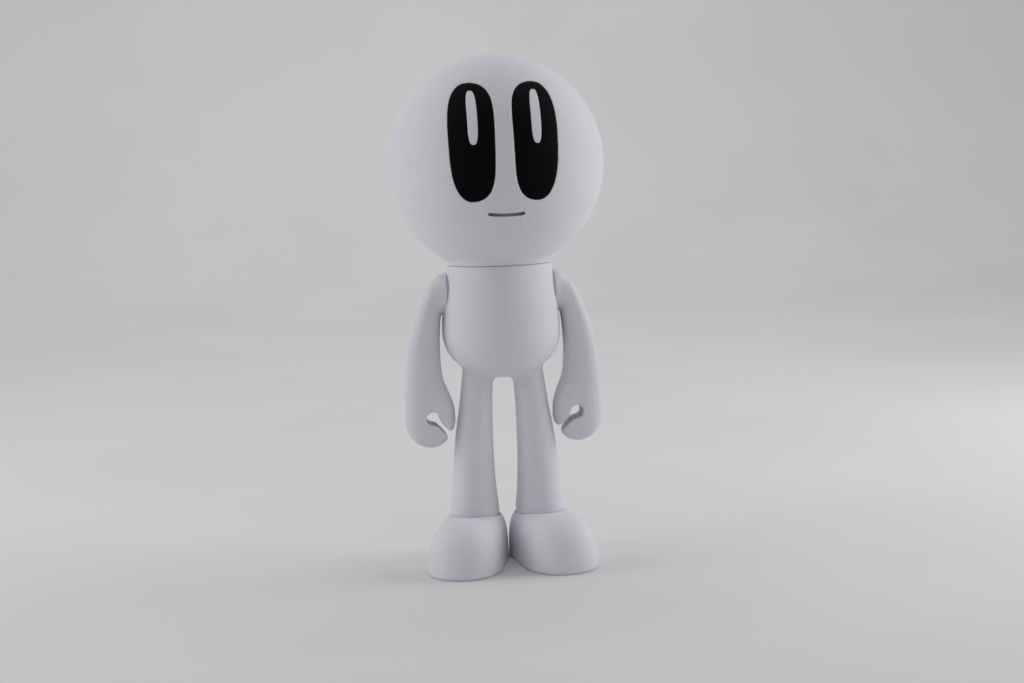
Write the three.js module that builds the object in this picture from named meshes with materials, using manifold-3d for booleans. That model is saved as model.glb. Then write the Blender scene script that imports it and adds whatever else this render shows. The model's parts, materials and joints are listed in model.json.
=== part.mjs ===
// A posable desk figure in printed plastic: a ball head on a turning neck, a round
// torso with two short legs, two swinging arms with grip hands, and two large shoes.
//
// Millimetres, +Z up. The origin is on the floor under the body's axis. The figure
// faces -Y, so its own left side is +X. Paired pieces are built for the left side
// and mirrored for the right.

import * as THREE from "three";
import { mergeVertices } from "three/addons/utils/BufferGeometryUtils.js";
import Module from "manifold-3d";

const wasm = await Module();
wasm.setup();

// ---------- Driving dimensions ----------

const FIGURE_HEIGHT = 200;
const GAP = 0.3; // clearance between neighbouring pieces

const HEAD_RADIUS = 42.5;
const HEAD_CENTRE_Z = FIGURE_HEIGHT - HEAD_RADIUS;
const HEAD_WALL = 3.2;
const NECK_SEAM_Z = 118.4; // underside of the head's neck stub
const NECK_STUB_RADIUS = 19.9;
const NECK_FILLET = 3;

const EYE = { x: 11.9, z: 165.4, halfWidth: 8.2, halfHeight: 22, power: 2.5, taper: 0.1, shift: 0 };
// Both highlights sit slightly to the figure's left, as one light would set them.
const HIGHLIGHT = { x: 11.8, z: 174.3, halfWidth: 1.9, halfHeight: 10.1, power: 3, taper: 0, shift: 0.5 };
const EYE_POCKET_DEPTH = 1.8;
const HIGHLIGHT_POCKET_DEPTH = 0.9;
const HIGHLIGHT_PROUD = 0.12;
const EYE_PEG_RADIUS = 1.2;
const EYE_PEG_OFFSETS = [-12, 6]; // above and below the eye's centre

const MOUTH = { z: 138.1, halfWidth: 6.9, rise: 0.55, thickness: 1.35, depth: 2.2 };

const BASE_PLATE = {
  radius: 16.3,
  bottom: NECK_SEAM_Z + 0.7,
  top: NECK_SEAM_Z + 3.1,
  flangeTop: NECK_SEAM_Z + 6.9, // top of the head's inner ledge
  opening: 12.5,
};
const BASE_SCREW_CIRCLE = 14.4;
const BASE_SCREW_TOP = NECK_SEAM_Z + 7;

const TORSO_TOP_Z = NECK_SEAM_Z - GAP;
const CHEST_RADIUS = 18.7; // inside the chest
const CHEST_FLOOR_Z = 86;
const CHEST_CEILING_Z = TORSO_TOP_Z - 6.8;
const COLLAR = { radius: 16.5, bottom: TORSO_TOP_Z - 3, top: TORSO_TOP_Z - 0.3, ledgeOpening: 13 };
const COLLAR_SCREW_CIRCLE = 14.8;
const SCREW_HOLE_RADIUS = 1.3;

const NECK_POST_RADIUS = 3;
const NECK_POST_BOTTOM = COLLAR.bottom - 1.6;
const NECK_FLANGE = { radius: 7, thickness: 2 };
const NECK_BUSH = { sleeve: 4.6, flange: 9, flangeThickness: 0.6 };

const SHOULDER_Z = 107.5;
const SHOULDER_BOSS_RADIUS = 6.5; // round inner face of the arm
const SHOULDER_SEAT_X = 20; // floor of the round seat in the torso's flank
const SHOULDER_FACE_X = 21.4; // inner face of the arm
const AXLE_RADIUS = 2;
const AXLE_INNER_X = 8.4;
const AXLE_OUTER_X = 27.5;
const CHEST_BOSS_INNER_X = 11.9;
const SHOULDER_RING = { inner: 10.6, outer: 11.6, radius: 4.4 };
const SHOULDER_CLIP = { inner: 9.5, outer: 10.1, radius: 4.6 };

const HAND = { x: 28.7, z: 58.1, holeRadius: 3, slotWidth: 2.3, slotAngle: -133 };
const ARM_DEPTH = 6.6; // half the arm's thickness, front to back
const HAND_RADIUS = 10;

const ANKLE_X = 13.25;
const LEG_BOTTOM_Z = 14;
const LEG_SIDES = 24;
const ANKLE_RADIUS = 9.9;
const SOCKET_FLOOR_Z = 12.4;
const ANKLE_PIN_RADIUS = 3;
const ANKLE_PIN_TOP = 25;
const SOLE_RECESS_TOP = 4.3;
const SOLE_RECESS_RADIUS = 5;

const TOE_OUT_DEG = { left: 13.5, right: 16.5 }; // the shoes aren't turned out quite alike
const SHOE = {
  heelRadius: 13.1,
  toeAhead: 20.3, // from the ankle's axis to the middle of the toe
  toeHalfWidth: 14.5,
  toeHalfLength: 17.3,
  height: 20.8,
  power: 2.4, // roundness of the toe's dome
  heelPower: 3.6,
  tuck: 0.9, // radius of the edge at the floor
  instepZ: 18.3, // top of the shoe at the front of the ankle
  instepRise: 0.23, // slope up from there towards the toe
};

// ---------- Materials ----------

function plastic(color, roughness) {
  return new THREE.MeshStandardMaterial({ color, roughness, metalness: 0 });
}

const whitePrint = () => plastic(0xe9e8ec, 0.55);
const blackPrint = () => plastic(0x0b0b0c, 0.6);
const nylon = () => plastic(0xd8d4c6, 0.45);
const rubber = () => plastic(0x1c1c1e, 0.85);
const steel = () => new THREE.MeshStandardMaterial({ color: 0xb8babd, roughness: 0.35, metalness: 1 });

// ---------- Solids ----------

function signedVolume(positions, index) {
  const [a, b, c] = [new THREE.Vector3(), new THREE.Vector3(), new THREE.Vector3()];
  let volume = 0;
  for (let i = 0; i < index.count; i += 3) {
    a.fromBufferAttribute(positions, index.getX(i));
    b.fromBufferAttribute(positions, index.getX(i + 1));
    c.fromBufferAttribute(positions, index.getX(i + 2));
    volume += a.dot(b.cross(c)) / 6;
  }
  return volume;
}

// A closed three.js geometry as a solid, with its faces turned outwards.
function toSolid(geometry) {
  const bare = geometry.clone();
  for (const name of Object.keys(bare.attributes)) {
    if (name !== "position") bare.deleteAttribute(name);
  }
  const merged = mergeVertices(bare, 1e-4);
  const triVerts = new Uint32Array(merged.index.array);
  if (signedVolume(merged.attributes.position, merged.index) < 0) {
    for (let i = 0; i < triVerts.length; i += 3) {
      [triVerts[i + 1], triVerts[i + 2]] = [triVerts[i + 2], triVerts[i + 1]];
    }
  }
  const vertProperties = new Float32Array(merged.attributes.position.array);
  return new wasm.Manifold(new wasm.Mesh({ numProp: 3, vertProperties, triVerts }));
}

function toGeometry(solid) {
  const mesh = solid.getMesh();
  const geometry = new THREE.BufferGeometry();
  geometry.setAttribute("position", new THREE.BufferAttribute(mesh.vertProperties, 3));
  geometry.setIndex(new THREE.BufferAttribute(mesh.triVerts, 1));
  geometry.computeVertexNormals();
  return geometry;
}

function join(...solids) {
  return solids.reduce((whole, solid) => whole.add(solid));
}

function cut(solid, ...tools) {
  return tools.reduce((rest, tool) => rest.subtract(tool), solid);
}

function mirrorX(solid) {
  return solid.mirror([1, 0, 0]);
}

// An upright cylinder.
function rod(radius, bottom, top, x = 0, y = 0, sides = 16) {
  const geometry = new THREE.CylinderGeometry(radius, radius, top - bottom, sides);
  geometry.rotateX(Math.PI / 2);
  geometry.translate(x, y, (top + bottom) / 2);
  return toSolid(geometry);
}

// A cylinder along X, on the shoulder's axis.
function crossRod(radius, innerX, outerX, sides = 16) {
  const geometry = new THREE.CylinderGeometry(radius, radius, outerX - innerX, sides);
  geometry.rotateZ(Math.PI / 2);
  geometry.translate((innerX + outerX) / 2, 0, SHOULDER_Z);
  return toSolid(geometry);
}

function tube(inner, outer, bottom, top) {
  return cut(rod(outer, bottom, top), rod(inner, bottom - 1, top + 1));
}

function crossTube(inner, outer, innerX, outerX) {
  return cut(crossRod(outer, innerX, outerX), crossRod(inner, innerX - 1, outerX + 1));
}

function box(width, depth, height, x, y, z) {
  const geometry = new THREE.BoxGeometry(width, depth, height);
  geometry.translate(x, y, z);
  return toSolid(geometry);
}

function ball(radius, x, y, z, around = 40, up = 20) {
  const geometry = new THREE.SphereGeometry(radius, around, up);
  geometry.rotateX(Math.PI / 2);
  geometry.translate(x, y, z);
  return toSolid(geometry);
}

// A profile of [radius, height] pairs turned about Z.
function turned(profile, sides) {
  const points = profile.map(([radius, height]) => new THREE.Vector2(radius, height));
  const geometry = new THREE.LatheGeometry(points, sides);
  geometry.rotateX(Math.PI / 2);
  return toSolid(geometry);
}

// A flat outline in the front view, pulled from depth `back` to depth `front`.
function frontPrism(shape, back, front, curveSegments = 6) {
  const options = { depth: back - front, bevelEnabled: false, curveSegments };
  const geometry = new THREE.ExtrudeGeometry(shape, options);
  geometry.rotateX(Math.PI / 2);
  geometry.translate(0, back, 0);
  return toSolid(geometry);
}

// Triangles that fill a level ring, all turned the same way round as the ring, or the
// other way round for the ring that closes the bottom.
function capFaces(ring, offset, reversed) {
  const outline = ring.map((point) => new THREE.Vector2(point.x, point.y));
  const ringSign = Math.sign(THREE.ShapeUtils.area(outline));
  return THREE.ShapeUtils.triangulateShape(outline, []).flatMap((face) => {
    const faceSign = Math.sign(THREE.ShapeUtils.area(face.map((i) => outline[i])));
    const turned = (faceSign === ringSign) === reversed ? [...face].reverse() : face;
    return turned.map((i) => i + offset);
  });
}

// Skins closed level rings of points, and caps the first and the last.
function loft(rings) {
  const count = rings[0].length;
  const points = rings.flat();
  const index = [];
  for (let r = 0; r + 1 < rings.length; r += 1) {
    for (let i = 0; i < count; i += 1) {
      const a = r * count + i;
      const b = r * count + ((i + 1) % count);
      index.push(a, b, a + count, b, b + count, a + count);
    }
  }
  index.push(...capFaces(rings[0], 0, true));
  index.push(...capFaces(rings.at(-1), (rings.length - 1) * count, false));
  const geometry = new THREE.BufferGeometry().setFromPoints(points);
  geometry.setIndex(index);
  return toSolid(geometry);
}

function signedPower(value, exponent) {
  return Math.sign(value) * Math.abs(value) ** exponent;
}

// An upright oval in the front view whose upper half is wider than its lower half.
function ovalShape(oval, side, grow, steps) {
  const points = [];
  for (let i = 0; i < steps; i += 1) {
    const angle = (2 * Math.PI * i) / steps;
    const across = signedPower(Math.cos(angle), 2 / oval.power);
    const up = signedPower(Math.sin(angle), 2 / oval.power);
    const halfWidth = oval.halfWidth * (1 + oval.taper * up) + grow;
    const x = side * oval.x + oval.shift + halfWidth * across;
    points.push(new THREE.Vector2(x, oval.z + (oval.halfHeight + grow) * up));
  }
  return new THREE.Shape(points);
}

// ---------- Fasteners ----------

// A slotted pan-head screw that points up: head at the bottom, shank above it.
function screwUp(shankRadius, headRadius, headHeight, headBottom, top, x = 0, y = 0) {
  const head = rod(headRadius, headBottom, headBottom + headHeight, x, y, 10);
  const shank = rod(shankRadius, headBottom, top, x, y, 8);
  const slot = box(2 * headRadius + 1, 0.6, headHeight, x, y, headBottom);
  return cut(join(head, shank), slot);
}

function screwDown(shankRadius, headRadius, headHeight, headTop, bottom, x, y) {
  const head = rod(headRadius, headTop - headHeight, headTop, x, y, 10);
  const shank = rod(shankRadius, bottom, headTop, x, y, 8);
  const slot = box(2 * headRadius + 1, 0.6, headHeight, x, y, headTop);
  return cut(join(head, shank), slot);
}

function circlePlaces(radius, count, firstDegrees) {
  const places = [];
  for (let i = 0; i < count; i += 1) {
    const angle = THREE.MathUtils.degToRad(firstDegrees + (360 * i) / count);
    places.push([radius * Math.cos(angle), radius * Math.sin(angle)]);
  }
  return places;
}

const BASE_SCREW_PLACES = circlePlaces(BASE_SCREW_CIRCLE, 3, 90);
const COLLAR_SCREW_PLACES = circlePlaces(COLLAR_SCREW_CIRCLE, 3, 90);

// ---------- Head ----------

// The outer face from the crown down to the neck stub, as [radius, height] pairs.
function headProfile() {
  const filletCentre = NECK_STUB_RADIUS + NECK_FILLET;
  const reach = HEAD_RADIUS + NECK_FILLET;
  const drop = Math.sqrt(reach ** 2 - filletCentre ** 2);
  const contact = Math.atan2(filletCentre, drop);
  const profile = [[0, FIGURE_HEIGHT]];
  const steps = 18;
  for (let i = 1; i <= steps; i += 1) {
    const angle = ((Math.PI - contact) * i) / steps;
    profile.push([HEAD_RADIUS * Math.sin(angle), HEAD_CENTRE_Z + HEAD_RADIUS * Math.cos(angle)]);
  }
  for (let i = 1; i <= 2; i += 1) {
    const angle = contact + ((Math.PI / 2 - contact) * i) / 2;
    const radius = filletCentre - NECK_FILLET * Math.sin(angle);
    profile.push([radius, HEAD_CENTRE_Z - drop + NECK_FILLET * Math.cos(angle)]);
  }
  profile.push([NECK_STUB_RADIUS, NECK_SEAM_Z + 0.4]);
  profile.push([NECK_STUB_RADIUS - 0.4, NECK_SEAM_Z]);
  profile.push([0, NECK_SEAM_Z]);
  return profile.reverse();
}

function headBall() {
  return turned(headProfile(), 44);
}

// The skin between a depth below the head's surface and a height above it.
function headSkin(depth, proud) {
  const outer = ball(HEAD_RADIUS + proud, 0, 0, HEAD_CENTRE_Z);
  const inner = ball(HEAD_RADIUS - depth, 0, 0, HEAD_CENTRE_Z);
  return cut(outer, inner);
}

function mouthShape() {
  const { z, halfWidth, rise, thickness } = MOUTH;
  const radius = (halfWidth ** 2 + rise ** 2) / (2 * rise);
  const half = Math.asin(halfWidth / radius);
  const start = -Math.PI / 2 - half;
  const end = -Math.PI / 2 + half;
  const shape = new THREE.Shape();
  shape.absarc(0, z + radius, radius + thickness / 2, start, end, false);
  shape.absarc(0, z + radius, radius - thickness / 2, end, start, true);
  return shape;
}

function headCavity() {
  const { flangeTop, opening, radius, top } = BASE_PLATE;
  const inside = ball(HEAD_RADIUS - HEAD_WALL, 0, 0, HEAD_CENTRE_Z, 24, 12);
  const belowFlange = rod(HEAD_RADIUS, NECK_SEAM_Z - 5, flangeTop);
  const neckWay = rod(opening, NECK_SEAM_Z - 1, flangeTop + 2, 0, 0, 20);
  const plateSeat = rod(radius + GAP, NECK_SEAM_Z - 1, top + GAP, 0, 0, 24);
  return join(cut(inside, belowFlange), neckWay, plateSeat);
}

function eyePegs(side, radius) {
  const pegs = EYE_PEG_OFFSETS.map((offset) => {
    const geometry = new THREE.CylinderGeometry(radius, radius, 12, 8);
    const height = EYE.z + offset - HEAD_CENTRE_Z;
    const surface = Math.sqrt(HEAD_RADIUS ** 2 - EYE.x ** 2 - height ** 2);
    geometry.translate(side * EYE.x, 7 - surface, EYE.z + offset);
    return toSolid(geometry);
  });
  return join(...pegs);
}

function headShell() {
  const pockets = [-1, 1].map((side) => {
    const outline = frontPrism(ovalShape(EYE, side, GAP, 30), 0, -60);
    return outline.intersect(headSkin(EYE_POCKET_DEPTH, 3));
  });
  const pegHoles = [-1, 1].map((side) => eyePegs(side, EYE_PEG_RADIUS + GAP));
  const mouth = frontPrism(mouthShape(), 0, -60, 6).intersect(headSkin(MOUTH.depth, 3));
  const screwHoles = BASE_SCREW_PLACES.map(([x, y]) => {
    return rod(SCREW_HOLE_RADIUS, BASE_PLATE.bottom, BASE_SCREW_TOP + 1, x, y, 8);
  });
  return cut(headBall(), headCavity(), mouth, ...pockets, ...pegHoles, ...screwHoles);
}

function eyeInlay(side) {
  const outline = frontPrism(ovalShape(EYE, side, 0, 30), 0, -60);
  const plate = outline.intersect(headSkin(EYE_POCKET_DEPTH - GAP, 3)).intersect(headBall());
  const pegs = cut(eyePegs(side, EYE_PEG_RADIUS), headSkin(1, 5), ball(34, 0, 0, HEAD_CENTRE_Z));
  const recess = frontPrism(ovalShape(HIGHLIGHT, side, GAP, 16), 0, -60);
  return cut(join(plate, pegs), recess.intersect(headSkin(HIGHLIGHT_POCKET_DEPTH, 3)));
}

function eyeHighlight(side) {
  const outline = frontPrism(ovalShape(HIGHLIGHT, side, 0, 16), 0, -60);
  return outline.intersect(headSkin(HIGHLIGHT_POCKET_DEPTH - GAP, HIGHLIGHT_PROUD));
}

// ---------- Neck ----------

function headBasePlate() {
  const { radius, bottom, top } = BASE_PLATE;
  const plate = rod(radius, bottom, top, 0, 0, 24);
  const postHole = rod(NECK_POST_RADIUS + GAP, bottom - 1, top + 1);
  const hexSeat = rod(NECK_FLANGE.radius + GAP, top - 1, top + 1, 0, 0, 6);
  const screwHoles = BASE_SCREW_PLACES.map(([x, y]) => {
    return rod(SCREW_HOLE_RADIUS, bottom - 1, top + 1, x, y, 8);
  });
  const headSeats = BASE_SCREW_PLACES.map(([x, y]) => rod(2.2, bottom - 1, bottom + 1.3, x, y, 10));
  return cut(plate, postHole, hexSeat, ...screwHoles, ...headSeats);
}

function neckPost() {
  const flangeBottom = BASE_PLATE.top - 1 + GAP;
  const flangeTop = flangeBottom + NECK_FLANGE.thickness;
  const shaft = rod(NECK_POST_RADIUS, NECK_POST_BOTTOM, flangeTop);
  const flange = rod(NECK_FLANGE.radius, flangeBottom, flangeTop, 0, 0, 6);
  const screwBore = rod(1.8, NECK_POST_BOTTOM - 1, NECK_POST_BOTTOM + 7, 0, 0, 16);
  return cut(join(shaft, flange), screwBore);
}

function neckBush() {
  const { sleeve, flange, flangeThickness } = NECK_BUSH;
  const flangeBottom = COLLAR.top + GAP;
  const body = rod(sleeve, COLLAR.bottom, flangeBottom + 0.1);
  const rim = rod(flange, flangeBottom, flangeBottom + flangeThickness, 0, 0, 20);
  const bore = rod(NECK_POST_RADIUS + GAP, COLLAR.bottom - 1, NECK_SEAM_Z + 2);
  return cut(join(body, rim), bore);
}

function collarPlate() {
  const { radius, bottom, top } = COLLAR;
  const plate = rod(radius, bottom, top, 0, 0, 24);
  const bushHole = rod(NECK_BUSH.sleeve + GAP, bottom - 1, top + 1);
  const screwHoles = COLLAR_SCREW_PLACES.map(([x, y]) => {
    return rod(SCREW_HOLE_RADIUS, bottom - 1, top + 1, x, y, 8);
  });
  const headSeats = COLLAR_SCREW_PLACES.map(([x, y]) => rod(2.2, top - 1.7, top + 1, x, y, 10));
  return cut(plate, bushHole, ...screwHoles, ...headSeats);
}

// ---------- Body ----------

function torsoProfile() {
  return [
    [0, 73],
    [6, 73.1],
    [11, 74.2],
    [14.6, 75.9],
    [17, 77.9],
    [19.3, 80.8],
    [21.4, 84.2],
    [22.9, 88],
    [23.5, 92],
    [23.35, 96],
    [22.85, 102],
    [22.1, 108],
    [21.4, 113],
    [20.95, TORSO_TOP_Z - 0.8],
    [20.7, TORSO_TOP_Z - 0.25],
    [20.2, TORSO_TOP_Z],
    [0, TORSO_TOP_Z],
  ];
}

// Leg stations from hip to ankle: x of the centre, radius, height.
const LEG_STATIONS = [
  new THREE.Vector3(9.4, 5.2, 84),
  new THREE.Vector3(10.3, 6.15, 73),
  new THREE.Vector3(11.2, 6.6, 62.6),
  new THREE.Vector3(12.3, 7.5, 50),
  new THREE.Vector3(12.9, 8.2, 38.7),
  new THREE.Vector3(13.2, 9.1, 27.3),
  new THREE.Vector3(ANKLE_X, 9.8, 20.5),
];

function circleRing(x, radius, z, count) {
  const ring = [];
  for (let i = 0; i < count; i += 1) {
    const angle = (2 * Math.PI * i) / count;
    ring.push(new THREE.Vector3(x + radius * Math.cos(angle), radius * Math.sin(angle), z));
  }
  return ring;
}

function leg() {
  const curve = new THREE.CatmullRomCurve3(LEG_STATIONS);
  const rings = curve.getPoints(9).map((p) => circleRing(p.x, p.y, p.z, LEG_SIDES));
  rings.push(circleRing(ANKLE_X, ANKLE_RADIUS, 19, LEG_SIDES));
  rings.push(circleRing(ANKLE_X, ANKLE_RADIUS, LEG_BOTTOM_Z + 0.4, LEG_SIDES));
  rings.push(circleRing(ANKLE_X, ANKLE_RADIUS - 0.4, LEG_BOTTOM_Z, LEG_SIDES));
  return loft(rings);
}

function chestCavity() {
  const { radius, bottom, ledgeOpening } = COLLAR;
  const chest = turned(
    [
      [0, CHEST_FLOOR_Z],
      [CHEST_RADIUS - 4, CHEST_FLOOR_Z],
      [CHEST_RADIUS, CHEST_FLOOR_Z + 4],
      [CHEST_RADIUS, CHEST_CEILING_Z],
      [0, CHEST_CEILING_Z],
    ],
    24,
  );
  const throat = rod(ledgeOpening, CHEST_CEILING_Z - 1, TORSO_TOP_Z + 1, 0, 0, 20);
  const collarSeat = rod(radius + GAP, bottom - GAP, TORSO_TOP_Z + 1, 0, 0, 24);
  return join(chest, throat, collarSeat);
}

function bodyShell() {
  const half = leg();
  const outside = join(turned(torsoProfile(), 40), half, mirrorX(half));
  const boss = crossRod(6.2, CHEST_BOSS_INNER_X, SHOULDER_SEAT_X);
  const shell = join(cut(outside, chestCavity()), boss, mirrorX(boss));
  const seat = crossRod(SHOULDER_BOSS_RADIUS + GAP, SHOULDER_SEAT_X, 30, 24);
  const bore = crossRod(3.9, CHEST_BOSS_INNER_X - 1, SHOULDER_SEAT_X + 1);
  const pinHole = rod(ANKLE_PIN_RADIUS + GAP, LEG_BOTTOM_Z - 1, ANKLE_PIN_TOP + GAP, ANKLE_X);
  const sides = join(seat, bore, pinHole);
  const screwHoles = COLLAR_SCREW_PLACES.map(([x, y]) => {
    return rod(SCREW_HOLE_RADIUS, CHEST_CEILING_Z - 1, COLLAR.bottom + 1, x, y, 8);
  });
  return cut(shell, sides, mirrorX(sides), ...screwHoles);
}

// ---------- Shoulders and arms ----------

// Arm stations from shoulder to wrist: x of the centre, half width, height.
const ARM_STATIONS = [
  new THREE.Vector3(25.9, 2.6, 109.5),
  new THREE.Vector3(27.5, 4.1, 103),
  new THREE.Vector3(28.9, 4.9, 98),
  new THREE.Vector3(30.3, 5.7, 91.5),
  new THREE.Vector3(31.1, 6.3, 85),
  new THREE.Vector3(31.5, 6.95, 78),
  new THREE.Vector3(31.4, 7.6, 72.8),
  new THREE.Vector3(30.6, 8.9, 67.5),
  new THREE.Vector3(29.75, 9.8, 62),
  new THREE.Vector3(29.6, 9.95, 56.5),
];

// A soft-cornered section across the arm, level with the floor.
function armRing(x, halfWidth, halfDepth, z) {
  const ring = [];
  const count = 20;
  for (let i = 0; i < count; i += 1) {
    const angle = (2 * Math.PI * i) / count;
    const across = signedPower(Math.cos(angle), 0.86);
    const along = signedPower(Math.sin(angle), 0.86);
    ring.push(new THREE.Vector3(x + halfWidth * across, halfDepth * along, z));
  }
  return ring;
}

function armLimb() {
  const curve = new THREE.CatmullRomCurve3(ARM_STATIONS);
  const rings = curve.getPoints(12).map((p) => armRing(p.x, p.y, ARM_DEPTH, p.z));
  const wrist = ARM_STATIONS.at(-1);
  for (let i = 1; i <= 5; i += 1) {
    const angle = (Math.PI / 2) * (i / 5.3);
    const halfDepth = ARM_DEPTH * (1 - Math.sin(angle) ** 3.2) ** (1 / 2.6);
    const z = wrist.z - (HAND_RADIUS + 0.8) * Math.sin(angle);
    rings.push(armRing(wrist.x, wrist.y * Math.cos(angle), halfDepth, z));
  }
  return loft(rings);
}

// The round shoulder, turned about the shoulder's axis.
function shoulderDome() {
  const profile = [
    [0, SHOULDER_FACE_X],
    [SHOULDER_BOSS_RADIUS - 0.3, SHOULDER_FACE_X],
    [SHOULDER_BOSS_RADIUS, SHOULDER_FACE_X + 0.3],
    [6.4, 23.4],
    [5.9, 25.4],
    [4.7, 27.5],
    [2.8, 29],
    [0, 29.9],
  ];
  const points = profile.map(([radius, x]) => new THREE.Vector2(radius, x));
  const geometry = new THREE.LatheGeometry(points, 24);
  geometry.rotateZ(-Math.PI / 2);
  geometry.translate(0, 0, SHOULDER_Z);
  return toSolid(geometry);
}

function gripOpening() {
  const hole = new THREE.CylinderGeometry(HAND.holeRadius, HAND.holeRadius, 30, 20);
  const slot = new THREE.BoxGeometry(14, 30, HAND.slotWidth);
  slot.translate(7, 0, 0);
  slot.rotateY(THREE.MathUtils.degToRad(-HAND.slotAngle));
  hole.translate(HAND.x, 0, HAND.z);
  slot.translate(HAND.x, 0, HAND.z);
  return join(toSolid(hole), toSolid(slot));
}

// Round face about the shoulder's axis that keeps the arm off the torso as it swings.
function torsoSweep() {
  const profile = [
    [0, 19],
    [SHOULDER_BOSS_RADIUS + 0.2, 19],
    [SHOULDER_BOSS_RADIUS + 0.2, 23.2],
    [15.5, 23.9],
    [24, 23.9],
    [24, 0],
    [0, 0],
  ];
  const points = profile.map(([radius, x]) => new THREE.Vector2(radius, x));
  const geometry = new THREE.LatheGeometry(points, 24);
  geometry.rotateZ(-Math.PI / 2);
  geometry.translate(0, 0, SHOULDER_Z);
  return toSolid(geometry);
}

function arm() {
  const axleBore = crossRod(AXLE_RADIUS + GAP, SHOULDER_FACE_X - 1, AXLE_OUTER_X + GAP, 12);
  const limb = cut(armLimb(), torsoSweep(), gripOpening());
  return cut(join(limb, shoulderDome()), axleBore);
}

function shoulderAxle() {
  const rodSolid = crossRod(AXLE_RADIUS, AXLE_INNER_X, AXLE_OUTER_X, 12);
  const { inner, outer } = SHOULDER_CLIP;
  const groove = crossTube(AXLE_RADIUS - 0.6, AXLE_RADIUS + 1, inner - GAP, outer + GAP);
  return cut(rodSolid, groove);
}

function shoulderBush() {
  const sleeve = crossRod(3.6, CHEST_BOSS_INNER_X, SHOULDER_SEAT_X + 0.4);
  const flange = crossRod(5.8, SHOULDER_SEAT_X + GAP, SHOULDER_SEAT_X + 1.1);
  const bore = crossRod(AXLE_RADIUS + GAP, CHEST_BOSS_INNER_X - 1, SHOULDER_FACE_X);
  return cut(join(sleeve, flange), bore);
}

function shoulderRing() {
  const { inner, outer, radius } = SHOULDER_RING;
  return crossTube(AXLE_RADIUS + GAP, radius, inner, outer);
}

// An open clip that snaps into the axle's groove.
function shoulderClip() {
  const { inner, outer, radius } = SHOULDER_CLIP;
  const plate = crossTube(AXLE_RADIUS - GAP, radius, inner, outer);
  const mouth = box(2, 2.4, 6, (inner + outer) / 2, 0, SHOULDER_Z - 4);
  return cut(plate, mouth);
}

// ---------- Ankles and shoes ----------

// How much of its base size a dome keeps at a height, from 1 at the floor to 0 on top.
function domeScale(z, height, power) {
  return (1 - Math.min(1, z / height) ** power) ** (1 / power);
}

// One level of the shoe, with the ankle's axis at the origin and the toe along -Y: a
// round heel, two sides that swell forwards, and an oval toe.
function shoeRing(z) {
  const { heelRadius, toeAhead, toeHalfWidth, toeHalfLength, height, power, heelPower, tuck } = SHOE;
  const tuckIn = z < tuck ? tuck - Math.sqrt(tuck ** 2 - (tuck - z) ** 2) : 0;
  const heel = heelRadius * domeScale(z, height, heelPower) - tuckIn;
  const width = toeHalfWidth * domeScale(z, height, power) - tuckIn;
  const length = toeHalfLength * domeScale(z, height, power) - tuckIn;
  const ring = [];
  for (let i = 0; i < 12; i += 1) {
    const angle = (Math.PI * i) / 12;
    ring.push(new THREE.Vector3(heel * Math.cos(angle), heel * Math.sin(angle), z));
  }
  for (let i = 0; i < 4; i += 1) {
    const halfWidth = THREE.MathUtils.lerp(heel, width, THREE.MathUtils.smoothstep(i / 4, 0, 1));
    ring.push(new THREE.Vector3(-halfWidth, (-toeAhead * i) / 4, z));
  }
  for (let i = 0; i < 12; i += 1) {
    const angle = Math.PI + (Math.PI * i) / 12;
    const x = width * signedPower(Math.cos(angle), 0.92);
    const y = length * signedPower(Math.sin(angle), 0.92) - toeAhead;
    ring.push(new THREE.Vector3(x, y, z));
  }
  for (let i = 4; i > 0; i -= 1) {
    const halfWidth = THREE.MathUtils.lerp(heel, width, THREE.MathUtils.smoothstep(i / 4, 0, 1));
    ring.push(new THREE.Vector3(halfWidth, (-toeAhead * i) / 4, z));
  }
  return ring;
}

function shoeDome() {
  const rings = [];
  const steps = 9;
  for (let i = 0; i <= steps; i += 1) {
    rings.push(shoeRing(SHOE.height * Math.sin((Math.PI / 2) * (i / (steps + 0.5)))));
  }
  return loft(rings);
}

// The shallow cone that lowers the shoe's top towards the ankle.
function instepDish() {
  const reach = 24;
  const rim = SHOE.instepZ + SHOE.instepRise * (reach - ANKLE_RADIUS);
  return turned(
    [
      [0, SHOE.instepZ],
      [ANKLE_RADIUS, SHOE.instepZ],
      [reach, rim],
      [reach, 30],
      [0, 30],
    ],
    32,
  );
}

// The shoe with the ankle's axis at the origin and the toe straight ahead.
function shoe() {
  const socket = rod(ANKLE_RADIUS + GAP, SOCKET_FLOOR_Z, SHOE.height + 5, 0, 0, 24);
  const pinHole = rod(ANKLE_PIN_RADIUS + GAP, SOLE_RECESS_TOP - 1, SOCKET_FLOOR_Z + 1);
  const soleRecess = rod(SOLE_RECESS_RADIUS, -1, SOLE_RECESS_TOP);
  return cut(shoeDome(), instepDish(), socket, pinHole, soleRecess);
}

function anklePin() {
  const pin = rod(ANKLE_PIN_RADIUS, SOLE_RECESS_TOP, ANKLE_PIN_TOP);
  return cut(pin, rod(1.8, SOLE_RECESS_TOP - 1, ANKLE_PIN_TOP - 6));
}

// ---------- Assembly ----------

const figure = new THREE.Group();

function place(parent, name, solid, material) {
  const mesh = new THREE.Mesh(toGeometry(solid), material);
  mesh.name = name;
  parent.add(mesh);
}

function placeHead(parent) {
  place(parent, "head_shell", headShell(), whitePrint());
  for (const [name, side] of [["left", 1], ["right", -1]]) {
    place(parent, `eye_${name}`, eyeInlay(side), blackPrint());
    place(parent, `eye_highlight_${name}`, eyeHighlight(side), whitePrint());
  }
  place(parent, "head_base_plate", headBasePlate(), whitePrint());
  BASE_SCREW_PLACES.forEach(([x, y], i) => {
    const screw = screwUp(1, 1.85, 1, BASE_PLATE.bottom, BASE_SCREW_TOP - 0.7, x, y);
    place(parent, `head_base_screw_${i + 1}`, screw, steel());
  });
}

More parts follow.
